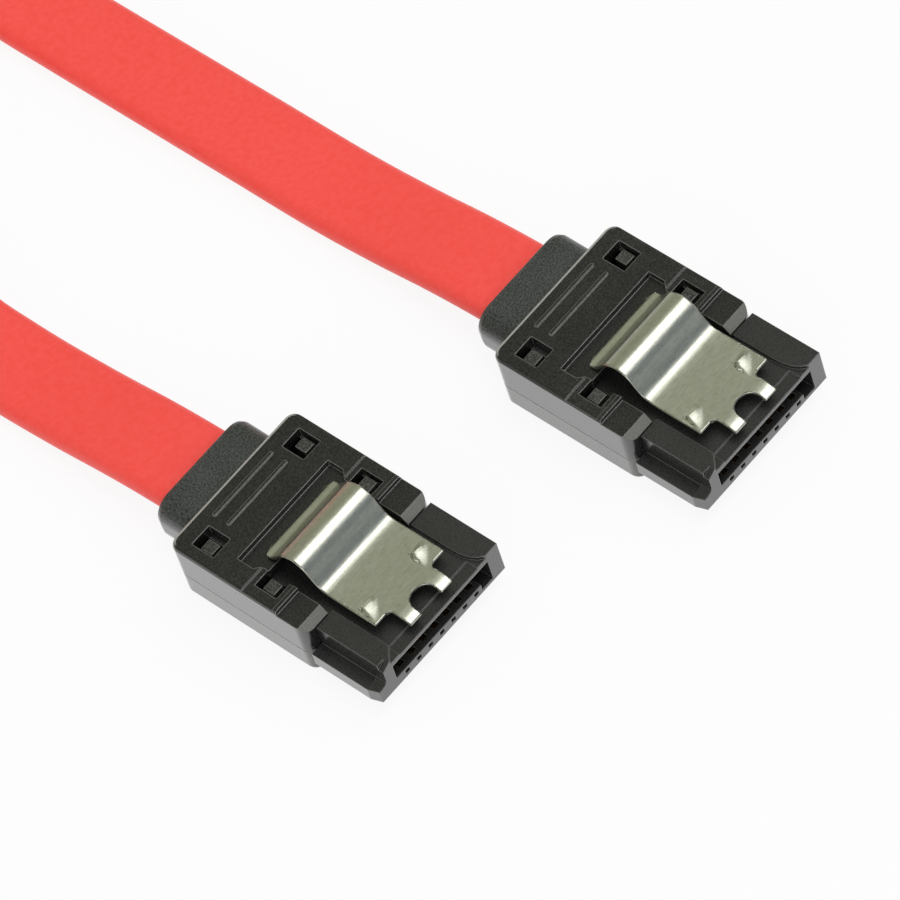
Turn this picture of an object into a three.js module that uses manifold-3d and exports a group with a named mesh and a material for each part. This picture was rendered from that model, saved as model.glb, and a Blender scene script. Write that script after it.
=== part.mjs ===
// Serial ATA data cable: one flat cable with a straight latching plug on each end.
// Millimetres, +Z up. In a plug's own frame x runs across the contacts, y runs from the
// mating face towards the cable, and z = 0 is the underside of the shell.

import * as THREE from 'three';
import { mergeVertices } from 'three/addons/utils/BufferGeometryUtils.js';
import Module from 'manifold-3d';

const wasm = await Module();
wasm.setup();

// Driving dimensions: layout of the two plugs
const PLUG_B_RIGHT = 25.4;
const PLUG_B_FORWARD = 9.2;

// Driving dimensions: fits
const CLEAR = 0.05;
const SLIP = 0.2;
const OVERRUN = 1;

// Driving dimensions: contacts
const CONTACT_COUNT = 7;
const CONTACT_PITCH = 1.27;
const CONTACT_WIDTH = 0.5;
const CONTACT_THICKNESS = 0.2;
const CONTACT_TIP_SETBACK = 0.7;
const CONTACT_TIP_LENGTH = 0.6;
const CONTACT_LEVEL_LEAD = 0.6;
const CONTACT_TAIL_CLEARANCE = 0.72;
const CONTACT_BOW_Y = 3.1;
const CONTACT_BOW_RISE = 0.4;

// Driving dimensions: nose, the insulator with the slot
const NOSE_RIGHT_SETBACK = 0.1;
const NOSE_BOTTOM = 1.4;
const NOSE_HEIGHT = 3.25;
const NOSE_RAIL_WIDTH = 1.15;
const NOSE_RAIL_HEIGHT = 1.26;
const NOSE_PLATE_DEPTH = 0.95;
const NOSE_TIP_TAPER = 0.3;
const NOSE_CHAMFER = 0.75;
const NOSE_CHAMFER_DROP = 0.45;
const NOSE_FILLET_RISE = 0.525;
const PLATFORM_LEFT = 4.0;
const PLATFORM_RIGHT = 4.6;
const PLATFORM_DROP = 0.35;
const PLATFORM_STRIP_DEPTH = 1.05;
const PLATFORM_STRIP_DROP = 0.12;
const CHEEK_CURVE = 1.0;
const CHEEK_BULGE = 0.6;
const CHEEK_LENGTH = 2.6;
const SLOT_LEFT = 4.9;
const SLOT_RIGHT = 5.6;
const SLOT_HEIGHT = 1.55;
const SLOT_ROOF = 0.33;
const SLOT_DEPTH = 5.7;
const KEY_LEG_WIDTH = 1.2;
const KEY_LEG_DEPTH = 0.6;
const CORE_HALF_WIDTH = 4.3;
const CORE_CLEARANCE = 0.4;
const FLANGE_HALF_WIDTH = 5.3;
const FLANGE_THICKNESS = 1.2;
const WINDOW_WIDTH = 0.46;
const WINDOW_HEIGHT = 0.4;
const CHANNEL_FLOOR = 0.32;
const CHANNEL_LIP = 0.45;

// Driving dimensions: two-part shell
const SHELL_FRONT = 6.33;
const SHELL_LENGTH = 13.17;
const SHELL_WIDTH = 13.9;
const SHELL_HEIGHT = 5.8;
const SHELL_CORNER = 0.9;
const SHELL_EDGE = 0.3;
const SHELL_WALL = 0.9;
const PARTING_HEIGHT = 2.37;
const LUG_LENGTH = 2.65;
const LUG_DROP = 0.4;
const LUG_CHAMFER = 0.6;
const LUG_RIB_WIDTH = 0.35;
const SHOULDER_LENGTH = 3.0;
const SHOULDER_DROP = 0.15;
const POCKET_HALF_WIDTH = 4.45;
const POCKET_REAR_HALF_WIDTH = 5.0;
const POCKET_REAR_LENGTH = 1.5;
const POCKET_END = 14.3;
const SEAT_LENGTH = 2.3;
const SEAT_THICKNESS = 0.55;
const RIDGE_HALF_LENGTH = 3.25;
const RIDGE_WIDTH = 0.28;
const RIDGE_HEIGHT = 0.12;
const RIDGE_CORNER = 0.112;
const RIDGE_REAR_SETBACK = 1.3;
const RIDGE_SPACING = 1.38;
const REAR_WINDOW_SETBACK = 2.62;
const REAR_WINDOW_SIZE = 2.1;
const REAR_WINDOW_INNER = 4.05;
const REAR_WINDOW_OUTER = 5.93;
const FRONT_WINDOW_Y = 10.8;
const FRONT_WINDOW_LENGTH = 2.1;
const HOOK_WIDTH = 0.95;
const HOOK_LENGTH = 1.05;
const HOOK_CATCH = 0.2;
const HOOK_HEAD_HEIGHT = 0.45;
const HOOK_TOP_DROP = 0.45;

// Driving dimensions: strain relief
const RELIEF_HALF_WIDTH = 5.0;
const RELIEF_BOTTOM = 0.7;
const RELIEF_HEIGHT = 4.4;
const RELIEF_CORNER = 1.7;
const RELIEF_LENGTH = 3.5;
const RELIEF_EDGE = 0.5;
const RELIEF_NECK_WALL = 0.4;
const RELIEF_BLOCK_HALF_WIDTH = 4.4;
const RELIEF_BLOCK_LENGTH = 3.4;

// Driving dimensions: latch spring
const LATCH_CENTRE = 0.25;
const LATCH_WIDTH = 7.6;
const LATCH_THICKNESS = 0.25;
const LATCH_SEAT_GAP = 0.1;
const LATCH_REAR = 12.75;
const LATCH_STRIP_LENGTH = 0.55;
const LATCH_HUMP_Y = 10.1;
const LATCH_HUMP_RISE = 1.87;
const LATCH_CREASE_Y = 7.87;
const LATCH_PLATE_RISE = 0.85;
const LATCH_FRONT = 2.4;
const TONGUE_INNER = 1.07;
const TONGUE_OUTER = 2.28;
const TONGUE_TIP_Y = 0.4;
const TONGUE_BEND = 0.45;
const TONGUE_DROP = 0.3;
const TONGUE_FILLET = 0.35;
const TONGUE_NOTCH_DEPTH = 0.15;
const LATCH_TAIL_HALF_WIDTH = 3.2;
const LATCH_TAIL_LENGTH = 0.85;
// The leaf's bends: steps in y and z from the strip's front, the crest and the crease
const LATCH_FOLD = [[0.2, 0], [0, 0.065], [-0.35, 0.375], [-1.1, 1.105]];
const LATCH_CREST = [[0.5, -0.295], [0, 0], [-0.35, -0.015], [-0.7, -0.125], [-1.05, -0.285], [-1.3, -0.495]];
const LATCH_CREASE = [[0.63, 1.145], [0.33, 0.715], [0, 0.365], [-0.37, 0.145], [-0.77, 0.045],
  [-1.17, 0.005], [-1.57, 0]];
const TONGUE_CURL = { lead: 0.25, share: 0.6, dropShare: 0.3 };
const BARB_X = 2.75;
const BARB_Y = 3.4;
const BARB_WIDTH = 1.1;
const BARB_LENGTH = 1.6;
const BARB_HEIGHT = 0.4;

// Driving dimensions: cable
const CABLE_WIDTH = 7.5;
const CABLE_THICKNESS = 2.0;
const CABLE_HEIGHT = 2.9;
const CABLE_START = 2.4;
const CORE_WIRE_DIAMETER = 0.9;
const DRAIN_WIRE_DIAMETER = 0.4;
const WIRE_LAP = 1.0;
const CABLE_CORE_PITCH = 1.08;
const COIL_X = -25.6;
const COIL_Y = 104;
const COIL_RADIUS = 37.5;
const COIL_TURNS = 1.75;
const COIL_PITCH = 3;
const COIL_MARGIN = 0.3;
const TIE_WIDTH = 6;
const TIE_THICKNESS = 0.6;
const TIE_GAP = 0.3;

// Derived places in a plug's own frame
const NOSE_TOP = NOSE_BOTTOM + NOSE_HEIGHT;
const PLATFORM = NOSE_TOP - PLATFORM_DROP;
const PLATFORM_STRIP = PLATFORM - PLATFORM_STRIP_DROP;
const SLOT_TOP = PLATFORM_STRIP - SLOT_ROOF;
const SLOT_FLOOR = SLOT_TOP - SLOT_HEIGHT;
const SHELL_REAR = SHELL_FRONT + SHELL_LENGTH;
const SHELL_HALF = SHELL_WIDTH / 2;
const NOSE_LEFT = SHELL_HALF;
const NOSE_RIGHT = SHELL_HALF - NOSE_RIGHT_SETBACK;
const NOSE_SHOULDER = NOSE_LEFT - NOSE_RAIL_WIDTH;
const NOSE_REAR = SHELL_FRONT - CLEAR;
const CHANNEL_BOTTOM = NOSE_BOTTOM + CHANNEL_FLOOR;
const TAIL_TOP = CABLE_HEIGHT - CORE_WIRE_DIAMETER / 2 - CLEAR;
const RELIEF_BLOCK_REAR = SHELL_REAR - SHELL_WALL - CLEAR;
const RELIEF_BLOCK_FRONT = RELIEF_BLOCK_REAR - RELIEF_BLOCK_LENGTH;
const CONTACT_END = RELIEF_BLOCK_FRONT - CONTACT_TAIL_CLEARANCE;
const CORE_REAR = CONTACT_END - WIRE_LAP - CORE_CLEARANCE;
const CABLE_END = SHELL_REAR - SHELL_WALL - CABLE_START;
const RELIEF_REAR = SHELL_REAR + CLEAR + RELIEF_LENGTH;
const CAVITY_ROOF = NOSE_TOP + CLEAR;
const SHELL_FLOOR = NOSE_BOTTOM - CLEAR;
const SEAT_HEIGHT = CAVITY_ROOF + SEAT_THICKNESS;
const LATCH_STRIP_HEIGHT = SEAT_HEIGHT + LATCH_SEAT_GAP + LATCH_THICKNESS / 2;
const LATCH_PLATE_HEIGHT = PLATFORM + LATCH_PLATE_RISE + LATCH_THICKNESS / 2;
const HOOK_TOP = SHELL_HEIGHT - HOOK_TOP_DROP;
const HOOK_INNER = REAR_WINDOW_OUTER - HOOK_CATCH - CLEAR - HOOK_WIDTH;

const MATERIALS = {
  mouldedBlack: { color: 0x2f2f2d, roughness: 0.55, metalness: 0 },
  noseBlack: { color: 0x353533, roughness: 0.4, metalness: 0 },
  reliefBlack: { color: 0x2b2b2a, roughness: 0.7, metalness: 0 },
  springSteel: { color: 0x9a9c88, roughness: 0.22, metalness: 1 },
  goldPlate: { color: 0xc9a24a, roughness: 0.3, metalness: 1 },
  whiteInsulation: { color: 0xe6e4dc, roughness: 0.5, metalness: 0 },
  tinnedCopper: { color: 0xb9b6ae, roughness: 0.35, metalness: 1 },
  redJacket: { color: 0xf9544b, roughness: 0.45, metalness: 0 },
  blackTie: { color: 0x222222, roughness: 0.8, metalness: 0 },
};

// Solids and booleans

function toSolid(geometry) {
  const bare = geometry.clone();
  bare.deleteAttribute('normal');
  bare.deleteAttribute('uv');
  const merged = mergeVertices(bare, 1e-4);
  return new wasm.Manifold(new wasm.Mesh({
    numProp: 3,
    vertProperties: new Float32Array(merged.attributes.position.array),
    triVerts: new Uint32Array(merged.index.array),
  }));
}

function join(...solids) {
  return solids.reduce((all, one) => all.add(one));
}

function cut(body, ...tools) {
  return tools.reduce((rest, tool) => rest.subtract(tool), body);
}

function toMesh(name, solid, material) {
  const { vertProperties, triVerts } = solid.getMesh();
  const geometry = new THREE.BufferGeometry();
  geometry.setAttribute('position', new THREE.BufferAttribute(new Float32Array(vertProperties), 3));
  geometry.setIndex(new THREE.BufferAttribute(new Uint32Array(triVerts), 1));
  geometry.computeVertexNormals();
  const mesh = new THREE.Mesh(geometry, new THREE.MeshStandardMaterial(MATERIALS[material]));
  mesh.name = name;
  return mesh;
}

function block(x0, x1, y0, y1, z0, z1) {
  const box = new THREE.BoxGeometry(x1 - x0, y1 - y0, z1 - z0);
  return toSolid(box.translate((x0 + x1) / 2, (y0 + y1) / 2, (z0 + z1) / 2));
}

function extrude(shape, depth, bevel = 0, curveSegments = 4) {
  return new THREE.ExtrudeGeometry(shape, {
    depth: depth - 2 * bevel,
    bevelEnabled: bevel > 0,
    bevelSize: bevel,
    bevelOffset: -bevel,
    bevelThickness: bevel,
    bevelSegments: 2,
    curveSegments,
  }).translate(0, 0, bevel);
}

// A plan outline in x and y, raised from z0 to z1.
function planPrism(shape, z0, z1, bevel = 0) {
  return toSolid(extrude(shape, z1 - z0, bevel).translate(0, 0, z0));
}

// A front outline in x and z, run from y0 to y1.
function frontPrism(shape, y0, y1, bevel = 0) {
  return toSolid(extrude(shape, y1 - y0, bevel).rotateX(Math.PI / 2).translate(0, y1, 0));
}

// A side outline in y and z, run from x0 to x1.
function sidePrism(shape, x0, x1) {
  const turn = new THREE.Matrix4().makeBasis(
    new THREE.Vector3(0, 1, 0), new THREE.Vector3(0, 0, 1), new THREE.Vector3(1, 0, 0));
  return toSolid(extrude(shape, x1 - x0).applyMatrix4(turn).translate(x0, 0, 0));
}

function polygon(points) {
  return new THREE.Shape(points.map(([x, y]) => new THREE.Vector2(x, y)));
}

function roundedRectangle(x0, x1, y0, y1, radius) {
  const shape = new THREE.Shape();
  shape.moveTo(x0 + radius, y0);
  shape.lineTo(x1 - radius, y0);
  shape.absarc(x1 - radius, y0 + radius, radius, -Math.PI / 2, 0);
  shape.absarc(x1 - radius, y1 - radius, radius, 0, Math.PI / 2);
  shape.absarc(x0 + radius, y1 - radius, radius, Math.PI / 2, Math.PI);
  shape.absarc(x0 + radius, y0 + radius, radius, Math.PI, Math.PI * 1.5);
  return shape;
}

// The outline of a bent strip of even thickness that follows a smooth centre line.
function stripOutline(points, thickness, divisions) {
  const line = new THREE.CatmullRomCurve3(
    points.map(([y, z]) => new THREE.Vector3(y, z, 0)), false, 'centripetal');
  const along = line.getPoints(divisions);
  const side = (point, index, half) => {
    const before = along[Math.max(index - 1, 0)];
    const after = along[Math.min(index + 1, along.length - 1)];
    const run = after.clone().sub(before).normalize();
    return [point.x - run.y * half, point.y + run.x * half];
  };
  const upper = along.map((point, index) => side(point, index, thickness / 2));
  const lower = along.map((point, index) => side(point, index, -thickness / 2));
  return polygon([...upper, ...lower.reverse()]);
}

function fromMiddle(index) {
  return index - (CONTACT_COUNT - 1) / 2;
}

function contactX(index) {
  return fromMiddle(index) * CONTACT_PITCH;
}

function contactIndexes() {
  return Array.from({ length: CONTACT_COUNT }, (_, index) => index);
}

// Nose: front body, left rail, front plate, core and flange, with slot, key leg and channels

function nosePlateOutline() {
  const railTop = NOSE_BOTTOM + NOSE_RAIL_HEIGHT;
  const shape = new THREE.Shape();
  shape.moveTo(-NOSE_LEFT, NOSE_BOTTOM);
  shape.lineTo(NOSE_RIGHT, NOSE_BOTTOM);
  shape.lineTo(NOSE_RIGHT, NOSE_TOP);
  shape.lineTo(-NOSE_SHOULDER + NOSE_CHAMFER, NOSE_TOP);
  shape.lineTo(-NOSE_SHOULDER, NOSE_TOP - NOSE_CHAMFER_DROP);
  shape.lineTo(-NOSE_SHOULDER, railTop + NOSE_FILLET_RISE);
  shape.quadraticCurveTo(-NOSE_SHOULDER, railTop, -NOSE_LEFT, railTop);
  return shape;
}

function noseBody() {
  const plate = frontPrism(nosePlateOutline(), 0, NOSE_PLATE_DEPTH);
  const body = block(-NOSE_SHOULDER, NOSE_RIGHT, NOSE_PLATE_DEPTH / 2, NOSE_REAR, NOSE_BOTTOM, NOSE_TOP);
  const rail = block(-NOSE_LEFT, -NOSE_SHOULDER + CLEAR, NOSE_PLATE_DEPTH / 2, NOSE_REAR,
    NOSE_BOTTOM, NOSE_BOTTOM + NOSE_RAIL_HEIGHT);
  const tipCut = planPrism(polygon([
    [-NOSE_LEFT - OVERRUN, -OVERRUN], [-NOSE_LEFT + NOSE_TIP_TAPER, -OVERRUN],
    [-NOSE_LEFT + NOSE_TIP_TAPER, 0], [-NOSE_LEFT, NOSE_PLATE_DEPTH],
    [-NOSE_LEFT - OVERRUN, NOSE_PLATE_DEPTH]]),
  NOSE_BOTTOM - OVERRUN, NOSE_TOP + OVERRUN);
  return cut(join(plate, body, rail), tipCut);
}

// The recess on top that the latch fingers press into, with its rounded front corner.
function platformCut() {
  const shape = new THREE.Shape();
  shape.moveTo(-PLATFORM_LEFT - CHEEK_CURVE, -OVERRUN);
  shape.lineTo(PLATFORM_RIGHT + CHEEK_CURVE, -OVERRUN);
  shape.lineTo(PLATFORM_RIGHT + CHEEK_CURVE, 0);
  shape.quadraticCurveTo(PLATFORM_RIGHT, CHEEK_BULGE, PLATFORM_RIGHT, CHEEK_LENGTH);
  shape.lineTo(PLATFORM_RIGHT, NOSE_REAR + OVERRUN);
  shape.lineTo(-PLATFORM_LEFT, NOSE_REAR + OVERRUN);
  shape.lineTo(-PLATFORM_LEFT, CHEEK_CURVE);
  shape.lineTo(-PLATFORM_LEFT - CHEEK_CURVE, 0);
  const recess = planPrism(shape, PLATFORM, NOSE_TOP + OVERRUN);
  const strip = block(-PLATFORM_LEFT, PLATFORM_RIGHT, -OVERRUN, PLATFORM_STRIP_DEPTH,
    PLATFORM_STRIP, NOSE_TOP + OVERRUN);
  return join(recess, strip);
}

function slotCut() {
  const keyLeft = SLOT_RIGHT - KEY_LEG_WIDTH;
  return frontPrism(polygon([
    [-SLOT_LEFT, SLOT_FLOOR], [keyLeft, SLOT_FLOOR], [keyLeft, SLOT_FLOOR - KEY_LEG_DEPTH],
    [SLOT_RIGHT, SLOT_FLOOR - KEY_LEG_DEPTH], [SLOT_RIGHT, SLOT_TOP], [-SLOT_LEFT, SLOT_TOP]]),
  -OVERRUN, SLOT_DEPTH);
}

// One contact's window in the front face, its open channel and its passage to the rear.
function channelCut(x) {
  const half = CONTACT_WIDTH / 2 + CLEAR;
  const window = block(x - WINDOW_WIDTH / 2, x + WINDOW_WIDTH / 2, -OVERRUN, CHANNEL_LIP + OVERRUN,
    CHANNEL_BOTTOM, CHANNEL_BOTTOM + WINDOW_HEIGHT);
  const channel = block(x - half, x + half, CHANNEL_LIP, SLOT_DEPTH - CLEAR, CHANNEL_BOTTOM,
    SLOT_FLOOR + OVERRUN / 2);
  const passage = block(x - half, x + half, SLOT_DEPTH - 2 * CLEAR, CORE_REAR + OVERRUN,
    TAIL_TOP - CONTACT_THICKNESS - CLEAR, TAIL_TOP + CLEAR);
  return join(window, channel, passage);
}

function nose(name) {
  const core = block(-CORE_HALF_WIDTH, CORE_HALF_WIDTH, NOSE_REAR - CLEAR, CORE_REAR,
    NOSE_BOTTOM, PLATFORM);
  const flangeFront = SHELL_FRONT + SHELL_WALL + CLEAR;
  const flange = block(-FLANGE_HALF_WIDTH, FLANGE_HALF_WIDTH, flangeFront,
    flangeFront + FLANGE_THICKNESS, NOSE_BOTTOM, PLATFORM);
  const channels = contactIndexes().map((index) => channelCut(contactX(index)));
  const front = cut(noseBody(), platformCut(), slotCut());
  return toMesh(name, cut(join(front, core, flange), ...channels), 'noseBlack');
}

// Contacts: a bowed beam in the slot, a straight run through the core and a tail for the wire

function contactOutline() {
  const low = CHANNEL_BOTTOM + CONTACT_THICKNESS / 2 + CLEAR;
  const rest = TAIL_TOP - CONTACT_THICKNESS / 2;
  const crown = SLOT_FLOOR + CONTACT_BOW_RISE - CONTACT_THICKNESS / 2;
  return stripOutline([
    [CONTACT_TIP_SETBACK, low], [CONTACT_TIP_SETBACK + CONTACT_TIP_LENGTH, low],
    [CONTACT_BOW_Y, crown], [SLOT_DEPTH - CONTACT_LEVEL_LEAD, rest], [SLOT_DEPTH, rest],
    [CORE_REAR, rest], [CONTACT_END, rest]], CONTACT_THICKNESS, 24);
}

function contact(name, x) {
  const half = CONTACT_WIDTH / 2;
  return toMesh(name, sidePrism(contactOutline(), x - half, x + half), 'goldPlate');
}

// Wires inside the plug: insulated cores on the signal contacts, bare drains on the grounds

function isGround(index) {
  return index % 3 === 0;
}

function wire(name, index) {
  const ground = isGround(index);
  const radius = (ground ? DRAIN_WIRE_DIAMETER : CORE_WIRE_DIAMETER) / 2;
  const from = new THREE.Vector2(contactX(index), CONTACT_END - WIRE_LAP);
  const to = new THREE.Vector2(fromMiddle(index) * CABLE_CORE_PITCH, CABLE_END - SLIP);
  const middle = from.clone().lerp(to, 0.5);
  const geometry = new THREE.CylinderGeometry(radius, radius, from.distanceTo(to), ground ? 8 : 12);
  geometry.rotateZ(to.clone().sub(from).angle() - Math.PI / 2);
  geometry.translate(middle.x, middle.y, TAIL_TOP + CLEAR + radius);
  return toMesh(name, toSolid(geometry), ground ? 'tinnedCopper' : 'whiteInsulation');
}

// Shell: one rounded outer form that is split at the parting line

function shellForm() {
  const plan = roundedRectangle(-SHELL_HALF, SHELL_HALF, SHELL_FRONT, SHELL_REAR, SHELL_CORNER);
  return planPrism(plan, 0, SHELL_HEIGHT, SHELL_EDGE);
}

function shellCavity() {
  const inner = SHELL_HALF - SHELL_WALL;
  return block(-inner, inner, SHELL_FRONT + SHELL_WALL, SHELL_REAR - SHELL_WALL, SHELL_FLOOR, CAVITY_ROOF);
}

function frontOpening() {
  const half = CORE_HALF_WIDTH + CLEAR;
  return block(-half, half, SHELL_FRONT - OVERRUN, SHELL_FRONT + SHELL_WALL + OVERRUN,
    SHELL_FLOOR, PLATFORM + CLEAR);
}

function rearOpening() {
  const half = CABLE_WIDTH / 2 + RELIEF_NECK_WALL + CLEAR;
  const rise = CABLE_THICKNESS / 2 + RELIEF_NECK_WALL + CLEAR;
  return block(-half, half, SHELL_REAR - SHELL_WALL - OVERRUN, SHELL_REAR + OVERRUN,
    CABLE_HEIGHT - rise, CABLE_HEIGHT + rise);
}

// The latch pocket: open to the nose in front, with a seat for the strip behind.
function pocketCut() {
  const seatFront = POCKET_END - SEAT_LENGTH;
  const wideFront = POCKET_END - POCKET_REAR_LENGTH;
  const slope = POCKET_REAR_HALF_WIDTH - POCKET_HALF_WIDTH;
  const plan = polygon([
    [-POCKET_HALF_WIDTH, SHELL_FRONT - OVERRUN], [POCKET_HALF_WIDTH, SHELL_FRONT - OVERRUN],
    [POCKET_HALF_WIDTH, wideFront - slope], [POCKET_REAR_HALF_WIDTH, wideFront],
    [POCKET_REAR_HALF_WIDTH, POCKET_END], [-POCKET_REAR_HALF_WIDTH, POCKET_END],
    [-POCKET_REAR_HALF_WIDTH, wideFront], [-POCKET_HALF_WIDTH, wideFront - slope]]);
  const upper = planPrism(plan, SEAT_HEIGHT, SHELL_HEIGHT + OVERRUN);
  const through = block(-POCKET_HALF_WIDTH, POCKET_HALF_WIDTH, SHELL_FRONT - OVERRUN, seatFront,
    CAVITY_ROOF - OVERRUN, SHELL_HEIGHT);
  const tailSlot = block(LATCH_CENTRE - LATCH_TAIL_HALF_WIDTH - SLIP,
    LATCH_CENTRE + LATCH_TAIL_HALF_WIDTH + SLIP, LATCH_REAR - LATCH_THICKNESS - SLIP,
    LATCH_REAR + SLIP, CAVITY_ROOF - OVERRUN, SHELL_HEIGHT);
  return join(upper, through, tailSlot);
}

// The two lugs in front stand lower than the cover, behind them a rib and a shallow shoulder.
function lugCuts() {
  const lugRear = SHELL_FRONT + LUG_LENGTH;
  const ribRear = lugRear + LUG_RIB_WIDTH;
  const lugTop = SHELL_HEIGHT - LUG_DROP;
  const lug = block(-SHELL_HALF - OVERRUN, SHELL_HALF + OVERRUN, SHELL_FRONT - OVERRUN, lugRear,
    lugTop, SHELL_HEIGHT + OVERRUN);
  const shoulder = block(-SHELL_HALF - OVERRUN, SHELL_HALF + OVERRUN, ribRear,
    ribRear + SHOULDER_LENGTH, SHELL_HEIGHT - SHOULDER_DROP, SHELL_HEIGHT + OVERRUN);
  const chamfer = sidePrism(polygon([
    [SHELL_FRONT - OVERRUN, lugTop - LUG_CHAMFER], [SHELL_FRONT, lugTop - LUG_CHAMFER],
    [SHELL_FRONT + LUG_CHAMFER, lugTop], [SHELL_FRONT + LUG_CHAMFER, SHELL_HEIGHT + OVERRUN],
    [SHELL_FRONT - OVERRUN, SHELL_HEIGHT + OVERRUN]]), -SHELL_HALF - OVERRUN, SHELL_HALF + OVERRUN);
  return [lug, shoulder, chamfer];
}

function windowSites() {
  const rearY = SHELL_REAR - REAR_WINDOW_SETBACK;
  const front = { y: FRONT_WINDOW_Y, length: FRONT_WINDOW_LENGTH, inner: POCKET_HALF_WIDTH - CLEAR };
  const rear = { y: rearY, length: REAR_WINDOW_SIZE, inner: REAR_WINDOW_INNER };
  return [front, rear].flatMap((site) => [{ ...site, side: -1 }, { ...site, side: 1 }]);
}

function mirroredBlock(side, inner, outer, y0, y1, z0, z1) {
  return side > 0 ? block(inner, outer, y0, y1, z0, z1) : block(-outer, -inner, y0, y1, z0, z1);
}

// A window with the ledge that a hook's head catches on.
function windowCut({ side, y, length, inner }) {
  const ledge = HOOK_TOP - HOOK_HEAD_HEIGHT - CLEAR;
  const from = y - length / 2;
  const to = y + length / 2;
  const shaft = mirroredBlock(side, inner, REAR_WINDOW_OUTER - HOOK_CATCH, from, to,
    CAVITY_ROOF - OVERRUN, SHELL_HEIGHT + OVERRUN);
  const mouth = mirroredBlock(side, inner, REAR_WINDOW_OUTER, from, to, ledge,
    SHELL_HEIGHT + OVERRUN);
  return join(shaft, mouth);
}

function ridges() {
  const rows = [RIDGE_REAR_SETBACK, RIDGE_REAR_SETBACK + RIDGE_SPACING];
  return rows.map((setback) => {
    const y = SHELL_REAR - setback;
    const plan = roundedRectangle(-RIDGE_HALF_LENGTH, RIDGE_HALF_LENGTH, y - RIDGE_WIDTH / 2,
      y + RIDGE_WIDTH / 2, RIDGE_CORNER);
    return planPrism(plan, SHELL_HEIGHT - SHELL_EDGE, SHELL_HEIGHT + RIDGE_HEIGHT);
  });
}

function upperShell(name) {
  const below = block(-SHELL_HALF - OVERRUN, SHELL_HALF + OVERRUN, SHELL_FRONT - OVERRUN,
    SHELL_REAR + OVERRUN, -OVERRUN, PARTING_HEIGHT + CLEAR);
  const cover = cut(shellForm(), below, shellCavity(), frontOpening(), rearOpening(), pocketCut(),
    ...lugCuts(), ...windowSites().map(windowCut));
  return toMesh(name, join(cover, ...ridges()), 'mouldedBlack');
}

// A snap post on the tray, with an outward catch under its head.
function hook({ side, y }) {
  const outer = HOOK_INNER + HOOK_WIDTH;
  const from = y - HOOK_LENGTH / 2;
  const to = y + HOOK_LENGTH / 2;
  const post = mirroredBlock(side, HOOK_INNER, outer, from, to, SHELL_FLOOR - CLEAR, HOOK_TOP);
  const head = sidewaysWedge(side, outer, from, to);
  return join(post, head);
}

function sidewaysWedge(side, outer, from, to) {
  const base = HOOK_TOP - HOOK_HEAD_HEIGHT;
  const reach = outer + HOOK_CATCH;
  const points = [[outer - CLEAR, base], [reach, base], [reach, base + HOOK_HEAD_HEIGHT / 3],
    [outer, HOOK_TOP], [outer - CLEAR, HOOK_TOP]];
  const placed = points.map(([x, z]) => [side * x, z]);
  return frontPrism(polygon(side > 0 ? placed : placed.reverse()), from, to);
}

function lowerShell(name) {
  const above = block(-SHELL_HALF - OVERRUN, SHELL_HALF + OVERRUN, SHELL_FRONT - OVERRUN,
    SHELL_REAR + OVERRUN, PARTING_HEIGHT, SHELL_HEIGHT + OVERRUN);
  const tray = cut(shellForm(), above, shellCavity(), frontOpening(), rearOpening());
  return toMesh(name, join(tray, ...windowSites().map(hook)), 'mouldedBlack');
}

// Strain relief: an inner block, a neck through the rear wall and the boot outside

// The cable's own passage, and a wider mouth in front where the wires fan out.
function cablePassage() {
  const half = CABLE_WIDTH / 2 + CLEAR;
  const rise = CABLE_THICKNESS / 2 + CLEAR;
  const mouthHalf = contactX(CONTACT_COUNT - 1) + DRAIN_WIRE_DIAMETER / 2 + CLEAR;
  const through = block(-half, half, RELIEF_BLOCK_FRONT - OVERRUN, RELIEF_REAR + OVERRUN,
    CABLE_HEIGHT - rise, CABLE_HEIGHT + rise);
  const mouth = block(-mouthHalf, mouthHalf, RELIEF_BLOCK_FRONT - OVERRUN, CABLE_END,
    CABLE_HEIGHT - rise, CABLE_HEIGHT + rise);
  return join(through, mouth);
}

function strainRelief(name) {
  const neckHalf = CABLE_WIDTH / 2 + RELIEF_NECK_WALL;
  const neckRise = CABLE_THICKNESS / 2 + RELIEF_NECK_WALL;
  const inner = block(-RELIEF_BLOCK_HALF_WIDTH, RELIEF_BLOCK_HALF_WIDTH, RELIEF_BLOCK_FRONT,
    RELIEF_BLOCK_REAR, SHELL_FLOOR + CLEAR, CAVITY_ROOF - CLEAR);
  const neck = block(-neckHalf, neckHalf, RELIEF_BLOCK_REAR - CLEAR, SHELL_REAR + 2 * CLEAR,
    CABLE_HEIGHT - neckRise, CABLE_HEIGHT + neckRise);
  const outline = roundedRectangle(-RELIEF_HALF_WIDTH, RELIEF_HALF_WIDTH, RELIEF_BOTTOM,
    RELIEF_BOTTOM + RELIEF_HEIGHT, RELIEF_CORNER);
  const boot = frontPrism(outline, SHELL_REAR + CLEAR - 2 * RELIEF_EDGE, RELIEF_REAR, RELIEF_EDGE);
  const inFront = block(-RELIEF_HALF_WIDTH - OVERRUN, RELIEF_HALF_WIDTH + OVERRUN,
    SHELL_REAR - OVERRUN - 2 * RELIEF_EDGE, SHELL_REAR + CLEAR, -OVERRUN, SHELL_HEIGHT + OVERRUN);
  const body = join(cut(boot, inFront), inner, neck);
  return toMesh(name, cut(body, cablePassage()), 'reliefBlack');
}

// Latch spring: one bent leaf with a hump to press, two hook barbs and two front fingers

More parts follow.
